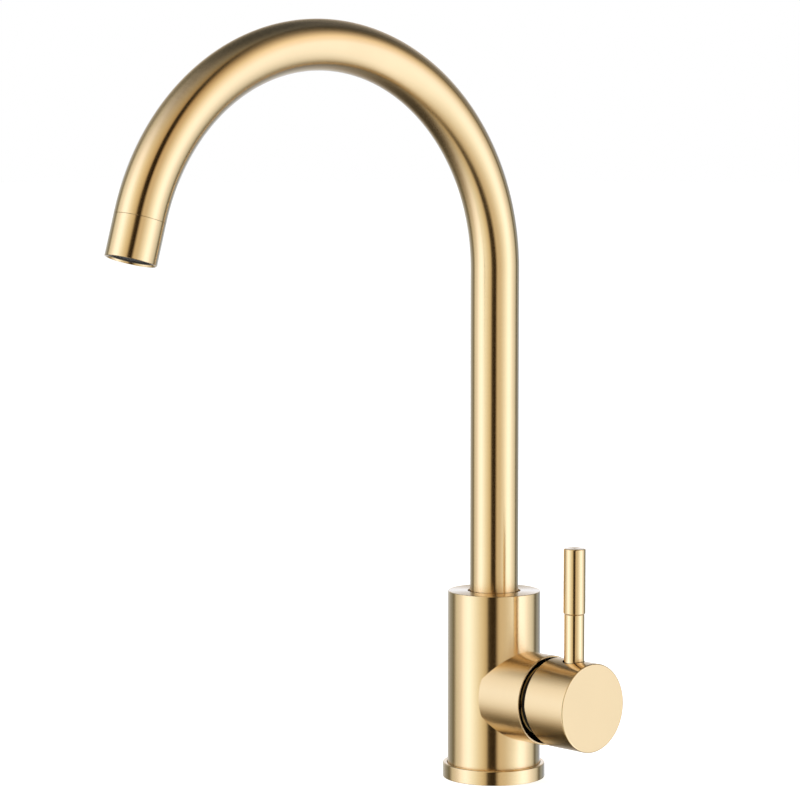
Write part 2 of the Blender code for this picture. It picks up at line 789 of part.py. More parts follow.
def make_outlet(swivel_axis):
    at = outlet_frame(swivel_axis)
    edge, bore, shoulder, water_r, neck_length = 0.3, 11.2, 13.2, 8.5, 7.0
    neck = SPOUT_R - SPOUT_WALL - GAP
    collar_top = COLLAR_LENGTH + neck_length
    turned(
        "outlet_collar",
        [
            (bore, 0),
            (SPOUT_R - edge, 0),
            (SPOUT_R, edge),
            (SPOUT_R, COLLAR_LENGTH),
            (neck, COLLAR_LENGTH),
            (neck, collar_top),
            (water_r, collar_top),
            (water_r, shoulder),
            (bore, shoulder),
        ],
        "brushed_gold",
        PIPE_SIDES,
        parent=at,
    )
    housing_r, mouth_r, seat_r, low, ledge, top = bore - GAP, 9.3, 8.0, 0.8, 8.5, 11.4
    turned(
        "aerator_housing",
        [(mouth_r, low), (housing_r, low), (housing_r, top), (seat_r, top), (seat_r, ledge), (mouth_r, ledge)],
        "black_plastic",
        MEDIUM,
        parent=at,
    )
    inner_r = mouth_r - GAP
    turned("aerator_screen", [(0, 1.4), (inner_r, 1.4), (inner_r, 1.9), (0, 1.9)], "steel", MEDIUM, parent=at)
    low, high, centre_hole_r = 4.0, 7.5, 1.4
    section = ring_outline(centre_hole_r, inner_r, low, high)
    straightener = turned("flow_straightener", section, "white_plastic", COARSE, parent=at)
    hole_r, hole_circle_r, first_turn = 1.6, 5.5, 0.13
    for step in range(6):
        turn = pi * step / 3 + first_turn
        centre = (hole_circle_r * cos(turn), hole_circle_r * sin(turn))
        boolean(straightener, rod_mesh(hole_r, low - 1, high + 1, 8, centre))
    ring("aerator_gasket", water_r + 0.2, housing_r, top + GAP, shoulder - GAP, "rubber", COARSE, parent=at)


def main():
    clear_scene()
    make_body_shell()
    make_foot()
    make_inlet_pipes()
    make_manifold()
    make_spout_socket()
    make_cartridge_base_and_disc()
    make_cartridge_housing()
    make_cartridge_dome()
    temperature_axis = add_empty("handle_temperature_axis", location=(0, 0, BARREL_Z))
    slide = add_empty("disc_slide_axis", temperature_axis)
    flow_axis = add_empty("handle_flow_axis", temperature_axis, (PIVOT_X, 0, 0))
    make_cartridge_turret(temperature_axis)
    make_sliding_disc(slide)
    make_spindle(flow_axis)
    make_handle_cap(flow_axis)
    make_set_screw(flow_axis)
    make_lever(flow_axis)
    swivel_axis = add_empty("spout_swivel_axis", rotation=(0, 0, radians(SPOUT_REST_DEG)))
    make_spout_tube(swivel_axis)
    make_spigot(swivel_axis)
    make_outlet(swivel_axis)


main()
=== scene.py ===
"""Looks for the single-lever gooseneck mixer tap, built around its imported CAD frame.

Lengths are in millimetres in the frame's own axes (+Z up the column, +X along the side
barrel) and are scaled to metres when a mesh is made.
"""

import json
from math import acos, atan2, ceil, cos, pi, radians, sin, sqrt, tan

import bpy
from mathutils import Matrix, Vector


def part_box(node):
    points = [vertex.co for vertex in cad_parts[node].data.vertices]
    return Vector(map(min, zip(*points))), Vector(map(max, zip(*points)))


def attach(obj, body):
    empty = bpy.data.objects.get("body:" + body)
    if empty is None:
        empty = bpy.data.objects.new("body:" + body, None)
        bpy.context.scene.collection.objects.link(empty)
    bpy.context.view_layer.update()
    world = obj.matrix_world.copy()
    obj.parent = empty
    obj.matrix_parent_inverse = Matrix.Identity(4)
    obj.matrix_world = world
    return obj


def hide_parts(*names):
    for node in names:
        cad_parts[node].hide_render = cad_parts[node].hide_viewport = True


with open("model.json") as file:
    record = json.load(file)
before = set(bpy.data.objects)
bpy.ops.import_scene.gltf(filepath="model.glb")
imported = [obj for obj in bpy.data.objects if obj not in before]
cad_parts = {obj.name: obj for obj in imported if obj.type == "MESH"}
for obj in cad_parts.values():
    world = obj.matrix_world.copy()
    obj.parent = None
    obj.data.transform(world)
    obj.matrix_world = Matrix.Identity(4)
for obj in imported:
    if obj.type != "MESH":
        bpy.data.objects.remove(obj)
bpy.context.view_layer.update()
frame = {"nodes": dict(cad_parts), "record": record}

MM = 0.001


def node_box(name):
    low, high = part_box(name)
    return low / MM, high / MM


# Sizes and places read from the frame

shell_low, shell_high = node_box("body_shell")
_, flange_high = node_box("base_flange")
cap_low, cap_high = node_box("handle_cap")
shank_low, shank_high = node_box("lever_shank")
grip_low, grip_high = node_box("lever_grip")
tube_low, tube_high = node_box("spout_tube")
dome_low, dome_high = node_box("cartridge_dome")

# The clearance left between neighbouring parts
GAP = 0.3

BODY_R = shell_high.y
BODY_FOOT = shell_low.z
BODY_TOP = shell_high.z
BODY_WALL = 4.0
BODY_TOP_PLATE = 3.0
TOP_HOLE_R = 13.6

FLANGE_R = flange_high.x
FLANGE_HEIGHT = flange_high.z
FLANGE_SEAT = BODY_FOOT - GAP

BARREL_Z = (dome_low.z + dome_high.z) / 2
BARREL_R = 22.9
BARREL_BORE_R = 19.0
BARREL_FRONT = shell_high.x
MOUTH_R = 21.9
MOUTH_DEPTH = 2.75

CAP_R = cap_high.z - BARREL_Z
CAP_REAR = cap_low.x
CAP_FRONT = cap_high.x
CAP_WALL = 2.5
CAP_FRONT_WALL = 6.4
CAP_RELIEF = tan(radians(10.0))

LEVER_X = (shank_low.x + shank_high.x) / 2
SHANK_R = (shank_high.x - shank_low.x) / 2
GRIP_R = (grip_high.x - grip_low.x) / 2
GRIP_BOTTOM = grip_low.z
GRIP_TOP = grip_high.z
SCREW_X = 55.0

SPOUT_R = 12.5
SPOUT_WALL = 1.1
SPOUT_BOTTOM = tube_low.z
ARC_R = 111.0
ARC_CENTRE_Z = tube_high.z - ARC_R - SPOUT_R
ARC_SWEEP = radians(164.8)
OUTLET_STRAIGHT = 21.6
COLLAR_LENGTH = 20.0
SPOUT_REST = radians(266.3)

PIVOT_X = 26.0

# How finely round things are made
FINE = 160
MEDIUM = 96
COARSE = 48
ARC_STEPS = 150

# A length that counts as none
TINY = 1e-6


# Skins: surfaces whose corners carry their true normal and the way the brushing runs


class Skin:
    """Points and faces, and for each corner of each face its normal, the direction of the
    brushing there and a place in the unrolled surface that the brushing is drawn in."""

    def __init__(self):
        self.points = []
        self.faces = []
        self.normals = []
        self.scratches = []
        self.grains = []

    def face(self, corners):
        """corners are (point number, normal, scratch direction, grain place)."""
        self.faces.append([corner[0] for corner in corners])
        for _, normal, scratch, grain in corners:
            self.normals.append(normal)
            self.scratches.append(scratch)
            self.grains.append(grain)

    def add(self, other):
        shift = len(self.points)
        self.points += other.points
        self.faces += [[number + shift for number in face] for face in other.faces]
        self.normals += other.normals
        self.scratches += other.scratches
        self.grains += other.grains
        return self

    def move(self, matrix):
        turn = matrix.to_3x3()
        self.points = [matrix @ point for point in self.points]
        self.normals = [turn @ normal for normal in self.normals]
        self.scratches = [turn @ scratch for scratch in self.scratches]
        return self


def fillet_outline(corners, closed, steps=5):
    """Rounds an outline of (radius, height, fillet) corners that keeps the solid on its left.

    It returns stretches of (start, end, normal at start, normal at end).
    """
    count = len(corners)
    spots = [Vector(corner[:2]) for corner in corners]
    stretches = []
    joints = []
    for number, corner in enumerate(corners):
        here = spots[number]
        ends_here = not closed and number in (0, count - 1)
        if ends_here or len(corner) < 3 or corner[2] == 0:
            joints.append((here, here, []))
            continue
        before = (here - spots[number - 1]).normalized()
        after = (spots[(number + 1) % count] - here).normalized()
        bend = atan2(before.x * after.y - before.y * after.x, before.dot(after))
        reach = corner[2] * tan(abs(bend) / 2)
        side = corner[2] if bend > 0 else -corner[2]
        out = Vector((before.y, -before.x))
        centre = here - before * reach - out * side
        arc = []
        for step in range(steps + 1):
            turned = Matrix.Rotation(bend * step / steps, 2) @ out
            arc.append((centre + turned * side, turned))
        joints.append((arc[0][0], arc[-1][0], arc))
    for number in range(count):
        if number == count - 1 and not closed:
            break
        after = (number + 1) % count
        start, end = joints[number][1], joints[after][0]
        way = end - start
        if way.length > TINY:
            way.normalize()
            out = Vector((way.y, -way.x))
            stretches.append((start, end, out, out))
        arc = joints[after][2]
        for first, second in zip(arc, arc[1:]):
            stretches.append((first[0], second[0], first[1], second[1]))
    return stretches


def lathe(corners, sides, closed=False, steps=5):
    """Turns an outline of (radius, height, fillet) corners about Z, with concentric brushing."""
    skin = Skin()
    rings = {}

    def ring_of(spot):
        key = (round(spot.x, 5), round(spot.y, 5))
        if key not in rings:
            first = len(skin.points)
            if spot.x < TINY:
                skin.points.append(Vector((0, 0, spot.y)))
                rings[key] = [first] * sides
            else:
                for side in range(sides):
                    turn = 2 * pi * side / sides
                    skin.points.append(Vector((spot.x * cos(turn), spot.x * sin(turn), spot.y)))
                rings[key] = list(range(first, first + sides))
        return rings[key]

    widest = max(corner[0] for corner in corners)

    def skin_corner(number, turn, out, height):
        ray = (cos(turn), sin(turn))
        return (
            number,
            Vector((out.x * ray[0], out.x * ray[1], out.y)),
            Vector((-ray[1], ray[0], 0)),
            Vector((widest * ray[0], widest * ray[1], height)),
        )

    along = 0.0
    for start, end, start_out, end_out in fillet_outline(corners, closed, steps):
        low, high = ring_of(start), ring_of(end)
        ahead = along + (end - start).length
        for side in range(sides):
            after = (side + 1) % sides
            turns = (2 * pi * side / sides, 2 * pi * (side + 1) / sides)
            loop = [skin_corner(low[side], turns[0], start_out, along)]
            if start.x > TINY:
                loop.append(skin_corner(low[after], turns[1], start_out, along))
            loop.append(skin_corner(high[after], turns[1], end_out, ahead))
            if end.x > TINY:
                loop.append(skin_corner(high[side], turns[0], end_out, ahead))
            skin.face(loop)
        along = ahead
    return skin


def along_x(x=0.0, z=BARREL_Z):
    """Lays a turned piece along +X, with its own +X pointing down."""
    return Matrix.Translation((x, 0, z)) @ Matrix.Rotation(pi / 2, 4, "Y")


def skin_mesh(name, skin):
    mesh = bpy.data.meshes.new(name)
    mesh.from_pydata([point * MM for point in skin.points], [], skin.faces)
    layers = {"scratch": skin.scratches, "grain": skin.grains, "true_normal": skin.normals}
    for label, values in layers.items():
        layer = mesh.attributes.new(label, "FLOAT_VECTOR", "CORNER")
        layer.data.foreach_set("vector", [number for value in values for number in value])
    return mesh


def set_true_normals(mesh):
    """Shades the mesh by the normals that its corners carry, and drops them."""
    mesh.shade_smooth()
    layer = mesh.attributes["true_normal"]
    normals = [Vector(item.vector) for item in layer.data]
    for polygon in mesh.polygons:
        for number in polygon.loop_indices:
            if normals[number].length < 0.5:
                normals[number] = polygon.normal
            normals[number] = normals[number].normalized()
    mesh.attributes.remove(mesh.attributes["true_normal"])
    mesh.normals_split_custom_set([tuple(normal) for normal in normals])


def plain_object(name, mesh):
    obj = bpy.data.objects.new(name, mesh)
    bpy.context.scene.collection.objects.link(obj)
    return obj


def carve(skin, name, cuts):
    """The skin's mesh after Booleans with other skins, as (operation, skin) pairs."""
    base = plain_object(name, skin_mesh(name, skin))
    helpers = []
    for number, (operation, other) in enumerate(cuts):
        helper = plain_object(f"{name}_cut_{number}", skin_mesh(f"{name}_cut_{number}", other))
        helpers.append(helper)
        modifier = base.modifiers.new(f"cut {number}", "BOOLEAN")
        modifier.operation = operation
        modifier.solver = "EXACT"
        modifier.object = helper
    graph = bpy.context.evaluated_depsgraph_get()
    mesh = bpy.data.meshes.new_from_object(base.evaluated_get(graph))
    for helper in helpers + [base]:
        old = helper.data
        bpy.data.objects.remove(helper)
        bpy.data.meshes.remove(old)
    mesh.name = name
    return mesh


def piece(name, mesh, finish, body, stands_for=(), slot=None):
    """Makes a mesh into a piece of the object that moves with a body."""
    if "true_normal" in mesh.attributes:
        set_true_normals(mesh)
    mesh.materials.clear()
    mesh.materials.append(FINISHES[finish])
    obj = plain_object(name, mesh)
    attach(obj, body)
    if stands_for:
        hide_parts(*stands_for)
    return obj


def turned_piece(name, corners, finish, body, sides=FINE, closed=False, place=None, **more):
    skin = lathe(corners, sides, closed)
    if place is not None:
        skin.move(place)
    return piece(name, skin_mesh(name, skin), finish, body, **more)


# Finishes

# The range of two brushing noises added together
LINE_RANGE = (0.7, 1.3)


def node(tree, kind, **settings):
    made = tree.nodes.new("ShaderNode" + kind)
    for key, value in settings.items():
        setattr(made, key, value)
    return made


def start_material(name, colour, roughness, metallic, **sockets):
    material = bpy.data.materials.new(name)
    material.use_nodes = True
    tree = material.node_tree
    shader = tree.nodes["Principled BSDF"]
    shader.inputs["Base Color"].default_value = (*colour, 1.0)
    shader.inputs["Roughness"].default_value = roughness
    shader.inputs["Metallic"].default_value = metallic
    for key, value in sockets.items():
        shader.inputs[key.replace("_", " ").title()].default_value = value
    return material, tree, shader


def noise_of(tree, vector, scale, detail=3.0, roughness=0.55):
    """Noise over a vector output, stretched by a scale for each axis."""
    mapping = node(tree, "Mapping")
    mapping.inputs["Scale"].default_value = scale
    tree.links.new(vector, mapping.inputs["Vector"])
    noise = node(tree, "TexNoise")
    noise.inputs["Scale"].default_value = 1.0
    noise.inputs["Detail"].default_value = detail
    noise.inputs["Roughness"].default_value = roughness
    tree.links.new(mapping.outputs["Vector"], noise.inputs["Vector"])
    return noise.outputs["Fac"]


def ranged(tree, value, low, high, from_low=0.25, from_high=0.75):
    """A noise value spread over a range."""
    spread = node(tree, "MapRange")
    spread.inputs["From Min"].default_value = from_low
    spread.inputs["From Max"].default_value = from_high
    spread.inputs["To Min"].default_value = low
    spread.inputs["To Max"].default_value = high
    tree.links.new(value, spread.inputs["Value"])
    return spread.outputs["Result"]


def tinted(tree, value, dark, light):
    """A colour between two, picked by a value from 0 to 1."""
    mix = node(tree, "Mix", data_type="RGBA")
    mix.inputs["A"].default_value = (*dark, 1.0)
    mix.inputs["B"].default_value = (*light, 1.0)
    tree.links.new(value, mix.inputs["Factor"])
    return mix.outputs["Result"]


def bumped(tree, shader, height, distance, strength=1.0):
    bump = node(tree, "Bump")
    bump.inputs["Strength"].default_value = strength
    bump.inputs["Distance"].default_value = distance * MM
    tree.links.new(height, bump.inputs["Height"])
    tree.links.new(bump.outputs["Normal"], shader.inputs["Normal"])


def brushed_metal(name, colour, roughness, streak_depth, contrast):
    """Metal with fine parallel brushing, which spreads reflections across the brush lines.

    The skins' own attributes say which way the lines run on each face.
    """
    material, tree, shader = start_material(name, colour, roughness, 1.0, anisotropic=1.0)
    grain = node(tree, "Attribute", attribute_name="grain").outputs["Vector"]
    long_streaks = noise_of(tree, grain, (0.03, 0.03, 3.0), 4.0, 0.6)
    hair_lines = noise_of(tree, grain, (0.08, 0.08, 12.0), 2.0, 0.5)
    cloudy = noise_of(tree, grain, (0.04, 0.04, 0.05), 2.0, 0.5)
    both = node(tree, "Math", operation="ADD")
    tree.links.new(long_streaks, both.inputs[0])
    tree.links.new(hair_lines, both.inputs[1])
    lines = both.outputs["Value"]
    pick = ranged(tree, lines, 0.0, 1.0, *LINE_RANGE)
    dark = [channel * (1 - contrast) for channel in colour]
    light = [min(1.0, channel * (1 + contrast)) for channel in colour]
    tree.links.new(tinted(tree, pick, dark, light), shader.inputs["Base Color"])
    rough_sum = node(tree, "Math", operation="ADD")
    rough_lines = ranged(tree, lines, 0.0, roughness * 0.15, *LINE_RANGE)
    rough_clouds = ranged(tree, cloudy, roughness * 0.88, roughness * 0.97, 0.3, 0.7)
    tree.links.new(rough_lines, rough_sum.inputs[0])
    tree.links.new(rough_clouds, rough_sum.inputs[1])
    tree.links.new(rough_sum.outputs["Value"], shader.inputs["Roughness"])
    bumped(tree, shader, lines, streak_depth)
    scratch = node(tree, "Attribute", attribute_name="scratch").outputs["Vector"]
    to_world = node(tree, "VectorTransform", vector_type="VECTOR")
    to_world.convert_from = "OBJECT"
    to_world.convert_to = "WORLD"
    tree.links.new(scratch, to_world.inputs["Vector"])
    across = node(tree, "VectorMath", operation="CROSS_PRODUCT")
    tree.links.new(to_world.outputs["Vector"], across.inputs[0])
    tree.links.new(node(tree, "NewGeometry").outputs["Normal"], across.inputs[1])
    tree.links.new(across.outputs["Vector"], shader.inputs["Tangent"])
    return material


def cast_material(name, dark, light, roughness, metallic, grain_mm, bump_mm, **sockets):
    """A finish with a fine even texture: moulded plastic, rubber, ceramic or machined metal."""
    material, tree, shader = start_material(name, light, roughness, metallic, **sockets)
    place = node(tree, "TexCoord").outputs["Object"]
    fine = noise_of(tree, place, (1000 / grain_mm,) * 3, 3.0)
    broad = noise_of(tree, place, (70.0,) * 3, 2.0)
    tint = tinted(tree, ranged(tree, broad, 0.0, 1.0), dark, light)
    tree.links.new(tint, shader.inputs["Base Color"])
    rough = ranged(tree, fine, roughness * 0.85, min(1.0, roughness * 1.15))
    tree.links.new(rough, shader.inputs["Roughness"])
    bumped(tree, shader, fine, bump_mm)
    return material


GOLD = (0.90, 0.70, 0.44)

# Name: roughness, depth of the brushing in mm, contrast of its lines
BRUSHED = {
    "brushed_gold": (0.22, 0.0008, 0.02),
    "polished_gold": (0.16, 0.0004, 0.008),
}

# Name: dark and light colour, roughness, metallic, grain in mm, depth of the grain in mm
CAST = {
    "brass": ((0.70, 0.50, 0.22), (0.80, 0.62, 0.30), 0.32, 1.0, 0.35, 0.01),
    "copper": ((0.80, 0.40, 0.26), (0.87, 0.50, 0.36), 0.30, 1.0, 0.5, 0.006),
    "steel": ((0.52, 0.52, 0.50), (0.64, 0.64, 0.62), 0.28, 1.0, 0.3, 0.004),
    "dull_steel": ((0.13, 0.13, 0.135), (0.22, 0.22, 0.23), 0.42, 1.0, 0.3, 0.004),
    "ceramic": ((0.86, 0.86, 0.83), (0.92, 0.92, 0.90), 0.16, 0.0, 0.2, 0.001),
    "white_plastic": ((0.80, 0.80, 0.77), (0.88, 0.88, 0.85), 0.42, 0.0, 0.25, 0.006),
    "black_plastic": ((0.020, 0.019, 0.018), (0.040, 0.037, 0.033), 0.38, 0.0, 0.2, 0.006),
    "rubber": ((0.012, 0.012, 0.012), (0.030, 0.030, 0.030), 0.70, 0.0, 0.15, 0.010),
}

FINISHES = {name: brushed_metal(name, GOLD, *numbers) for name, numbers in BRUSHED.items()}
FINISHES.update({name: cast_material(name, *numbers) for name, numbers in CAST.items()})


def finish_frame():
    """Gives each CAD node the finish of its slot."""
    for subpart in frame["record"]["subparts"]:
        mesh = frame["nodes"][subpart["node"]].data
        mesh.materials.clear()
        mesh.materials.append(FINISHES[subpart["material_slot"]])


# The column with its side barrel, and the foot


def make_body():
    bore = BODY_R - BODY_WALL
    under_plate = BODY_TOP - BODY_TOP_PLATE
    column = lathe(
        [
            (bore, BODY_FOOT),
            (BODY_R, BODY_FOOT, 0.3),
            (BODY_R, BODY_TOP, 0.4),
            (TOP_HOLE_R, BODY_TOP, 0.2),
            (TOP_HOLE_R, under_plate),
            (bore, under_plate),
        ],
        FINE,
        closed=True,
    )
    barrel_root = bore - 8
    barrel = lathe(
        [(0, barrel_root), (BARREL_R, barrel_root), (BARREL_R, BARREL_FRONT, 0.4), (0, BARREL_FRONT)],
        FINE,
    )
    inside = lathe([(0, 0), (bore, 0), (bore, under_plate), (0, under_plate)], FINE)
    # The bore's mouth is wider, and flares at its rim.
    mouth_floor = BARREL_FRONT - MOUTH_DEPTH
    rim, past_rim = BARREL_FRONT - 0.2, BARREL_FRONT + 0.8
    barrel_bore = lathe(
        [
            (0, 0),
            (BARREL_BORE_R, 0),
            (BARREL_BORE_R, mouth_floor),
            (MOUTH_R, mouth_floor, 0.3),
            (MOUTH_R, rim),
            (MOUTH_R + 1.0, past_rim),
            (0, past_rim),
        ],
        FINE,
    )
    cuts = [
        ("UNION", barrel.move(along_x())),
        ("DIFFERENCE", inside),
        ("DIFFERENCE", barrel_bore.move(along_x())),
    ]
    piece("body_column", carve(column, "body_column", cuts), "brushed_gold", "body", ["body_shell"])


def make_foot():
    inner = BODY_R - BODY_WALL + GAP
    groove_inner, groove_outer, groove_depth = 21.5, 25.0, 1.6
    turned_piece(
        "foot_ring",
        [
            (inner, 0),
            (groove_inner, 0, 0.2),
            (groove_inner, groove_depth),
            (groove_outer, groove_depth),
            (groove_outer, 0, 0.2),
            (FLANGE_R, 0, 0.3),
            (FLANGE_R, FLANGE_HEIGHT, 0.7),
            (BODY_R + GAP, FLANGE_HEIGHT, 0.25),
            (BODY_R + GAP, FLANGE_SEAT),
            (inner, FLANGE_SEAT),
        ],
        "brushed_gold",
        "body",
        closed=True,
        stands_for=["base_flange"],
    )


# The handle


def hole(radius, start, end, sides):
    """The skin of a round bar that cuts a hole, from start to end along its axis."""
    return lathe([(0, start), (radius, start), (radius, end), (0, end)], sides)


def make_cap():
    cavity_end = CAP_FRONT - CAP_FRONT_WALL
    cavity_r = CAP_R - CAP_WALL
    boss_r, boss_start = 9.0, 48.0
    skin = lathe(
        [
            (0, boss_start),
            (boss_r, boss_start),
            (boss_r, cavity_end),
            (cavity_r, cavity_end),
            (cavity_r, CAP_REAR, 0.3),
            (CAP_R, CAP_REAR, 0.45),
            (CAP_R, CAP_FRONT, 0.7),
            (0, CAP_FRONT),
        ],
        FINE,
    )
    # Below the axis the rear edge leans forwards, which leaves room for the cap to tilt.
    for point in skin.points:
        if point.z < CAP_REAR + 1.0:
            radius = sqrt(point.x**2 + point.y**2)
            if radius > boss_r + 1:
                point.z += max(0.0, point.x) * CAP_RELIEF
    # The front face is brushed straight up and down.
    corner = 0
    for face in skin.faces:
        for number in face:
            if skin.normals[corner].z > 0.99 and skin.points[number].z > CAP_FRONT - 1e-4:
                spot = skin.points[number]
                skin.scratches[corner] = Vector((1, 0, 0))
                skin.grains[corner] = Vector((spot.x, 0, spot.y))
            corner += 1
    socket = hole(5.4, 40, 61.3, COARSE)
    lever_hole = hole(SHANK_R + 0.75, 15, 30, MEDIUM)
    pin_hole = hole(3.3, -1, 16, COARSE)
    screw_r, plug_r, screw_top, screw_end = 2.6, 3.1, 15.5, 30
    screw_hole = lathe(
        [
            (0, 0),
            (screw_r, 0),
            (screw_r, screw_top),
            (plug_r, screw_top),
            (plug_r, screw_end),
            (0, screw_end),
        ],
        COARSE,
    )
    screw_hole.move(Matrix.Translation((SCREW_X, 0, BARREL_Z)) @ Matrix.Rotation(pi, 4, "X"))
    at_lever = Matrix.Translation((LEVER_X, 0, BARREL_Z))
    cuts = [
        ("DIFFERENCE", socket.move(along_x())),
        ("DIFFERENCE", lever_hole.move(at_lever)),
        ("DIFFERENCE", pin_hole.move(at_lever)),
        ("DIFFERENCE", screw_hole),
    ]
    skin.move(along_x())
    piece("handle_shell", carve(skin, "handle_shell", cuts), "brushed_gold", "handle", ["handle_cap"])


def make_lever():
    foot, step, tip = shank_low.z, BARREL_Z + CAP_R - CAP_WALL - 0.2, shank_high.z
    core_r = 3.0
    grip_bore_r = 3.3
    at = Matrix.Translation((LEVER_X, 0, 0))
    turned_piece(
        "lever_stem",
        [
            (0, foot),
            (core_r, foot, 0.3),
            (core_r, step),
            (SHANK_R, step, 0.3),
            (SHANK_R, GRIP_BOTTOM - GAP, 0.25),
            (core_r, GRIP_BOTTOM - GAP),
            (core_r, tip, 0.3),
            (0, tip),
        ],
        "polished_gold",
        "handle",
        MEDIUM,
        place=at,
        stands_for=["lever_shank"],
    )
    turned_piece(
        "lever_pin",
        [
            (grip_bore_r, GRIP_BOTTOM),
            (GRIP_R, GRIP_BOTTOM, 0.35),
            (GRIP_R, GRIP_TOP, 0.6),
            (0, GRIP_TOP),
        ],
        "brushed_gold",
        "handle",
        MEDIUM,
        place=at,
        stands_for=["lever_grip"],
    )


# The spout


def spout_direction():
    return Vector((cos(SPOUT_REST), sin(SPOUT_REST), 0))


def spine_at(run):
    """The point and direction of the spout's middle line, a length up from its foot."""
    reach = spout_direction()
    riser = ARC_CENTRE_Z - SPOUT_BOTTOM
    turn = min(max(run - riser, 0) / ARC_R, ARC_SWEEP)
    way = reach * sin(turn) + Vector((0, 0, cos(turn)))
    point = reach * ARC_R * (1 - cos(turn)) + Vector((0, 0, ARC_CENTRE_Z + ARC_R * sin(turn)))
    straight = min(run - riser, 0) + max(run - riser - ARC_R * ARC_SWEEP, 0)
    return point + way * straight, way


def bent(skin):
    """Bends a skin that was turned about Z so that Z follows the spout's middle line."""
    across = Vector((0, 0, 1)).cross(spout_direction())
    runs = [point.z for point in skin.points]
    turns = []
    for number, point in enumerate(skin.points):
        middle, way = spine_at(point.z)
        turn = Matrix((across.cross(way), across, way)).transposed()
        turns.append(turn)
        skin.points[number] = middle + turn @ Vector((point.x, point.y, 0))
    corner = 0
    for face in skin.faces:
        for number in face:
            skin.normals[corner] = turns[number] @ skin.normals[corner]
            skin.scratches[corner] = turns[number] @ skin.scratches[corner]
            grain = skin.grains[corner]
            skin.grains[corner] = Vector((grain.x, grain.y, runs[number]))
            corner += 1
    return skin


def make_tube():
    riser = ARC_CENTRE_Z - SPOUT_BOTTOM
    curve = ARC_R * ARC_SWEEP
    end = riser + curve + OUTLET_STRAIGHT - COLLAR_LENGTH - GAP
    rings = [riser + curve * step / ARC_STEPS for step in range(ARC_STEPS + 1)]
    inner = SPOUT_R - SPOUT_WALL
    outline = [(inner, 0), (SPOUT_R, 0, 0.15)]
    outline += [(SPOUT_R, ring) for ring in rings]
    outline += [(SPOUT_R, end, 0.15), (inner, end)]
    outline += [(inner, ring) for ring in reversed(rings)]
    skin = bent(lathe(outline, FINE, closed=True, steps=2))
    piece("spout_pipe", skin_mesh("spout_pipe", skin), "brushed_gold", "spout", ["spout_tube"])


def turn_to(direction):
    return direction.to_track_quat("Z", "Y").to_matrix().to_4x4()


def outlet_place():
    """The centre of the outlet's plane, with +Z running back up the spout."""
    point, way = spine_at(ARC_CENTRE_Z - SPOUT_BOTTOM + ARC_R * ARC_SWEEP + OUTLET_STRAIGHT)
    return Matrix.Translation(point) @ turn_to(-way)


def make_outlet():
    neck_r, bore_r, throat_r, mouth_r = SPOUT_R - SPOUT_WALL - GAP, 11.2, 8.5, 11.75
    shoulder, seam, neck_end = 13.2, COLLAR_LENGTH + GAP - 0.1, COLLAR_LENGTH + 7
    chamfer = 1.2
    turned_piece(
        "outlet_sleeve",
        [
            (bore_r, chamfer),
            (mouth_r, 0, 0.1),
            (SPOUT_R, 0, 0.35),
            (SPOUT_R, seam, 0.08),
            (neck_r, seam),
            (neck_r, neck_end, 0.5),
            (throat_r, neck_end),
            (throat_r, shoulder),
            (bore_r, shoulder),
        ],
        "brushed_gold",
        "spout",
        closed=True,
        place=outlet_place(),
        stands_for=["outlet_collar"],
    )
    outer_r, mesh_r, straightener_r = 10.9, 9.3, 8.0
    front, ledge, back = 0.8, 8.5, 11.4
    turned_piece(
        "aerator_ring",
        [
            (mesh_r, front, 0.3),
            (outer_r, front, 0.3),
            (outer_r, back),
            (straightener_r, back),
            (straightener_r, ledge),
            (mesh_r, ledge),
        ],
        "black_plastic",
        "spout",
        MEDIUM,
        closed=True,
        place=outlet_place(),
        stands_for=["aerator_housing"],
    )


def round_wire(points, radius, sides=6):
    """A thin wire through points that lie close to one plane, with closed ends."""
    skin = Skin()
    ways = []
    for number in range(len(points)):
        before = points[max(0, number - 1)]
        after = points[min(len(points) - 1, number + 1)]
        ways.append((after - before).normalized())
    frames = []
    for point, way in zip(points, ways):
        flat = Vector((0, 0, 1)).cross(way).normalized()
        frames.append((point, flat, way.cross(flat)))
    for point, flat, up in frames:
        for side in range(sides):
            turn = 2 * pi * side / sides
            skin.points.append(point + radius * (cos(turn) * flat + sin(turn) * up))
    for number in range(len(points) - 1):
        for side in range(sides):
            loop = []
            ahead, after = number + 1, side + 1
            for station, corner in ((number, side), (number, after), (ahead, after), (ahead, side)):
                _, flat, up = frames[station]
                turn = 2 * pi * corner / sides
                out = cos(turn) * flat + sin(turn) * up
                numbered = station * sides + corner % sides
                loop.append((numbered, out, ways[station], Vector(points[station])))
            skin.face(loop)
    for station, facing in ((0, -1), (len(points) - 1, 1)):
        numbers = [station * sides + side for side in range(sides)]
        if facing < 0:
            numbers.reverse()
        cap_corner = (ways[station] * facing, frames[station][1], Vector(points[station]))
        skin.face([(number, *cap_corner) for number in numbers])
    return skin


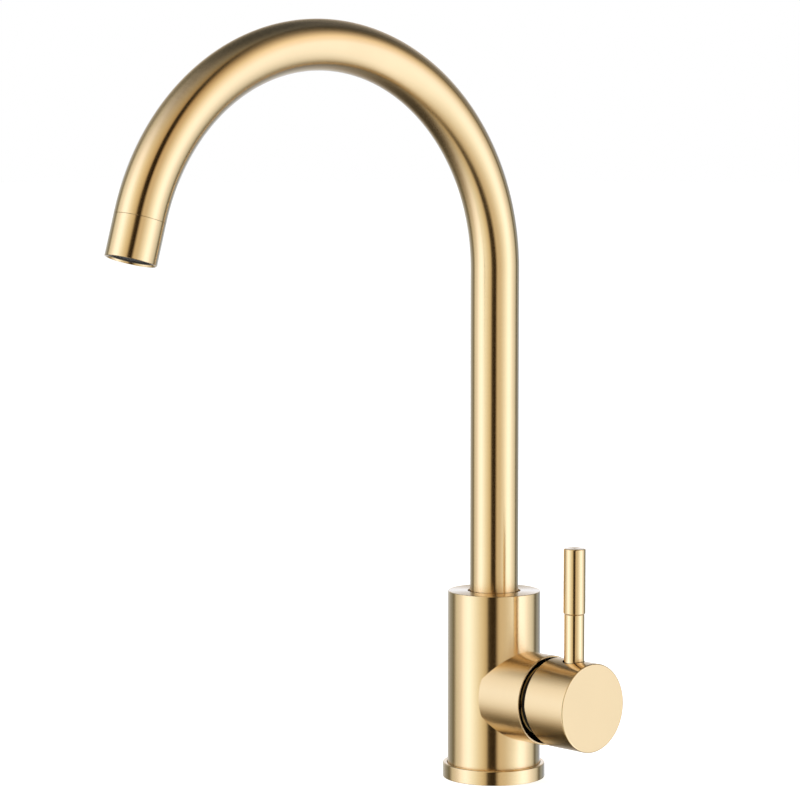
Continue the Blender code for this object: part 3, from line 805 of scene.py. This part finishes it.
def make_screen():
    """The outlet's woven mesh: two sets of wires that pass over and under each other."""
    pitch, wire_r, middle, reach, rim_r = 1.1, 0.16, 1.65, 9.0, 0.25
    woven = Skin()
    count = int(reach / pitch)
    for turned in (0, 1):
        for line in range(-count, count + 1):
            offset = line * pitch
            half = sqrt(max(0.0, reach**2 - offset**2))
            if half < pitch:
                continue
            points = []
            steps = ceil(2 * half / pitch * 4)
            for step in range(steps + 1):
                at = -half + 2 * half * step / steps
                phase = pi * at / pitch + pi * (line + turned)
                points.append(Vector((at, offset, middle + wire_r * cos(phase))))
            if turned:
                points = [Vector((-point.y, point.x, point.z)) for point in points]
            woven.add(round_wire(points, wire_r))
    rim_in, rim_out = reach - rim_r, reach + rim_r * 0.6
    rim_low, rim_high, rim_fillet = middle - rim_r, middle + rim_r, 0.2
    rim = lathe(
        [
            (rim_in, rim_low, rim_fillet),
            (rim_out, rim_low, rim_fillet),
            (rim_out, rim_high, rim_fillet),
            (rim_in, rim_high, rim_fillet),
        ],
        MEDIUM,
        closed=True,
        steps=2,
    )
    woven.add(rim)
    woven.move(outlet_place())
    mesh = skin_mesh("outlet_mesh", woven)
    piece("outlet_mesh", mesh, "dull_steel", "spout", ["aerator_screen"], slot="steel")


# The ring inside the gap between barrel and cap


def make_dome():
    rim_r, rim_x, rim_depth, hole_r = 18.6, 38.8, 1.0, 12.2
    outer, inner = 21.0, 19.5
    steps = 16

    def arc(radius, from_turn, to_turn):
        spots = []
        for step in range(steps + 1):
            turn = from_turn + (to_turn - from_turn) * step / steps
            spots.append((radius * sin(turn), PIVOT_X + radius * cos(turn)))
        return spots

    def foot(radius, x):
        return acos((x - PIVOT_X) / radius)

    hole_turns = [atan2(hole_r, sqrt(radius**2 - hole_r**2)) for radius in (outer, inner)]
    outline = [(rim_r, rim_x), (rim_r, rim_x + rim_depth)]
    outline += arc(outer, foot(outer, rim_x + rim_depth), hole_turns[0])
    outline += arc(inner, hole_turns[1], foot(inner, rim_x))
    turned_piece(
        "gap_dome",
        outline,
        "black_plastic",
        "body",
        closed=True,
        place=along_x(),
        stands_for=["cartridge_dome"],
    )


# Studio: camera, floor, surroundings and light

CAMERA_AZIMUTH = radians(-44.88)
CAMERA_DISTANCE = 1466.6
CAMERA_HEIGHT = 312.7
CAMERA_PAN = radians(1.90)
CAMERA_TILT = radians(4.57)
LENS = 128.7


def make_camera():
    data = bpy.data.cameras.new("camera")
    data.lens = LENS
    data.sensor_width = 36.0
    data.clip_end = 200.0
    camera = bpy.data.objects.new("camera", data)
    bpy.context.scene.collection.objects.link(camera)
    camera.location = (
        CAMERA_DISTANCE * MM * cos(CAMERA_AZIMUTH),
        CAMERA_DISTANCE * MM * sin(CAMERA_AZIMUTH),
        CAMERA_HEIGHT * MM,
    )
    # A camera looks along -Z. Turned so, it faces the column, panned left and tilted down.
    camera.rotation_euler = (pi / 2 - CAMERA_TILT, 0, CAMERA_AZIMUTH + pi / 2 + CAMERA_PAN)
    bpy.context.scene.camera = camera


# The studio's colours all round the object, chosen so that the column shows the photograph's
# light and dark bands: (degrees round from the camera, with the object's right as positive, colour)
SURROUND = [
    (-180, (0.95, 1.10, 1.40)),
    (-140, (0.42, 0.47, 0.52)),
    (-127, (0.30, 0.33, 0.33)),
    (-120, (0.20, 0.20, 0.15)),
    (-114, (0.42, 0.42, 0.38)),
    (-108, (0.80, 0.82, 0.76)),
    (-92, (0.98, 0.99, 1.00)),
    (-80, (1.30, 1.36, 1.45)),
    (-66, (1.35, 1.45, 1.60)),
    (-50, (1.05, 1.12, 1.08)),
    (-38, (0.88, 0.86, 0.72)),
    (-25, (0.70, 0.62, 0.44)),
    (-18, (0.50, 0.42, 0.27)),
    (-13.5, (0.018, 0.010, 0.003)),
    (4, (0.030, 0.020, 0.010)),
    (8, (0.40, 0.32, 0.20)),
    (13, (0.68, 0.58, 0.41)),
    (28, (0.70, 0.63, 0.49)),
    (42, (0.88, 0.87, 0.78)),
    (56, (1.12, 1.18, 1.15)),
    (68, (1.35, 1.42, 1.55)),
    (80, (1.30, 1.36, 1.45)),
    (94, (0.98, 1.00, 1.00)),
    (108, (0.74, 0.76, 0.73)),
    (115, (0.60, 0.61, 0.57)),
    (120, (0.26, 0.26, 0.21)),
    (125, (0.09, 0.085, 0.07)),
    (131, (0.28, 0.30, 0.29)),
    (139, (0.34, 0.38, 0.42)),
    (147, (0.27, 0.31, 0.36)),
    (163, (0.60, 0.70, 0.90)),
    (180, (0.95, 1.10, 1.40)),
]
BRIGHTEST = 1.6

# The studio is dim overhead, the more so towards the back: (height, share of the light left there),
# where height counts more behind the object and less before it.
CEILING = [
    (0.00, (1.00, 1.00, 1.00)),
    (0.15, (1.00, 1.00, 1.00)),
    (0.30, (0.97, 0.88, 0.78)),
    (0.47, (0.94, 0.80, 0.62)),
    (0.65, (0.56, 0.46, 0.34)),
    (0.80, (0.24, 0.20, 0.15)),
    (0.95, (0.12, 0.11, 0.095)),
    (1.08, (0.04, 0.040, 0.035)),
]
CEILING_LEAN = 0.45
CEILING_TALLEST = 1.2

# The light on the left reaches higher: how far left it starts and is full, and its share
LEFT_LIGHT = (0.45, 0.80, 0.85)

# It is also dim low down, behind and to the left: (elevation and direction round of its middle in
# degrees), then (cosine of the angle from there, share of the light left there)
GROUND_MIDDLE = (-60, -130)
GROUND = [
    (0.26, (1.00, 1.00, 1.00)),
    (0.47, (0.96, 0.94, 0.91)),
    (0.62, (0.85, 0.80, 0.73)),
    (0.73, (0.64, 0.57, 0.47)),
    (0.83, (0.36, 0.29, 0.20)),
    (0.90, (0.16, 0.12, 0.07)),
    (0.95, (0.07, 0.05, 0.025)),
]

# What stands straight before the object leans to its right above this height.
FRONT_LEAN = 0.35
FRONT_LEAN_FROM = 0.05

STUDIO_GAIN = 1.05


def vector_dot(tree, vector, direction):
    dot = node(tree, "VectorMath", operation="DOT_PRODUCT")
    tree.links.new(vector, dot.inputs[0])
    dot.inputs[1].default_value = direction
    return dot.outputs["Value"]


def way_round(degrees_round, elevation=0):
    """The direction at an angle round from the camera's, to its right, and at an elevation."""
    turn = CAMERA_AZIMUTH + radians(degrees_round)
    level = Vector((cos(turn), sin(turn), 0)) * cos(radians(elevation))
    return level + Vector((0, 0, sin(radians(elevation))))


def colour_steps(tree, value, steps, full):
    """A colour that goes through (value, colour) steps, where full is the largest value or colour."""
    widest, brightest = full
    ramp = node(tree, "ValToRGB")
    elements = ramp.color_ramp.elements
    elements.remove(elements[-1])
    for number, (at, colour) in enumerate(steps):
        element = elements[0] if number == 0 else elements.new(at / widest)
        element.position = at / widest
        element.color = (*[channel / brightest for channel in colour], 1.0)
    share = ranged(tree, value, 0.0, 1.0, 0.0, widest)
    tree.links.new(share, ramp.inputs["Fac"])
    return ramp.outputs["Color"]


def calculated(tree, operation, *values):
    """A Math node's result from outputs of other nodes and plain numbers."""
    made = node(tree, "Math", operation=operation)
    for number, value in enumerate(values):
        if isinstance(value, (int, float)):
            made.inputs[number].default_value = value
        else:
            tree.links.new(value, made.inputs[number])
    return made.outputs["Value"]


def mixed(tree, share, first, second):
    """A colour output that goes towards a plain colour by a share."""
    mix = node(tree, "Mix", data_type="RGBA")
    tree.links.new(share, mix.inputs["Factor"])
    tree.links.new(first, mix.inputs["A"])
    mix.inputs["B"].default_value = (*second, 1.0)
    return mix.outputs["Result"]


def multiplied(tree, first, second):
    product = node(tree, "VectorMath", operation="MULTIPLY")
    tree.links.new(first, product.inputs[0])
    tree.links.new(second, product.inputs[1])
    return product.outputs["Vector"]


def make_surroundings():
    world = bpy.data.worlds.new("studio")
    bpy.context.scene.world = world
    world.use_nodes = True
    tree = world.node_tree
    tree.nodes.clear()
    direction = node(tree, "TexCoord").outputs["Generated"]
    height = vector_dot(tree, direction, (0, 0, 1))
    ahead = vector_dot(tree, direction, way_round(0))
    raised = calculated(tree, "MAXIMUM", height, FRONT_LEAN_FROM)
    leaning = calculated(tree, "MULTIPLY_ADD", raised, -FRONT_LEAN, FRONT_LEAN * FRONT_LEAN_FROM)
    side = calculated(tree, "ADD", vector_dot(tree, direction, way_round(90)), leaning)
    angle = calculated(tree, "ARCTAN2", side, ahead)
    turned = calculated(tree, "MULTIPLY_ADD", angle, 180 / pi, 180)
    steps = [(degrees_round + 180, colour) for degrees_round, colour in SURROUND]
    colour = colour_steps(tree, turned, steps, (360, BRIGHTEST))
    bright = node(tree, "VectorMath", operation="SCALE")
    bright.inputs["Scale"].default_value = BRIGHTEST * STUDIO_GAIN
    tree.links.new(colour, bright.inputs[0])
    lean = calculated(tree, "MULTIPLY_ADD", ahead, -CEILING_LEAN, 1.0)
    overhead = calculated(tree, "MULTIPLY", height, lean)
    ceiling = colour_steps(tree, overhead, CEILING, (CEILING_TALLEST, 1.0))
    start, full, share = LEFT_LIGHT
    spared = ranged(tree, vector_dot(tree, direction, way_round(-90)), 0.0, share, start, full)
    ceiling = mixed(tree, spared, ceiling, (1, 1, 1))
    middle = way_round(GROUND_MIDDLE[1], GROUND_MIDDLE[0])
    ground = colour_steps(tree, vector_dot(tree, direction, middle), GROUND, (1.0, 1.0))
    colour = multiplied(tree, multiplied(tree, bright.outputs["Vector"], ceiling), ground)
    colour = mixed(tree, node(tree, "LightPath").outputs["Is Camera Ray"], colour, (1, 1, 1))
    background = node(tree, "Background")
    tree.links.new(colour, background.inputs["Color"])
    output = node(tree, "OutputWorld")
    tree.links.new(background.outputs["Background"], output.inputs["Surface"])


def make_floor():
    half, glow, drop = 60.0, 0.75, 0.0002
    mesh = bpy.data.meshes.new("floor")
    corners = [(-half, -half, 0), (half, -half, 0), (half, half, 0), (-half, half, 0)]
    mesh.from_pydata(corners, [], [(0, 1, 2, 3)])
    material, tree, shader = start_material("floor", (0.88, 0.88, 0.88), 0.9, 0.0)
    shader.inputs["Specular IOR Level"].default_value = 0.0
    shader.inputs["Emission Color"].default_value = (1, 1, 1, 1)
    shader.inputs["Emission Strength"].default_value = glow
    mesh.materials.append(material)
    floor = plain_object("floor", mesh)
    floor.location.z = -drop
    floor.visible_glossy = False


def make_light():
    data = bpy.data.lights.new("overhead", "AREA")
    data.shape = "DISK"
    data.size = 3.0
    data.energy = 55.0
    light = bpy.data.objects.new("overhead", data)
    bpy.context.scene.collection.objects.link(light)
    light.location = (0.3, -0.3, 3.0)
    light.visible_glossy = False
    light.visible_camera = False


def main():
    finish_frame()
    make_body()
    make_foot()
    make_cap()
    make_lever()
    make_tube()
    make_outlet()
    make_screen()
    make_dome()
    make_camera()
    make_surroundings()
    make_floor()
    make_light()
    bpy.context.scene.view_settings.view_transform = "Standard"


main()
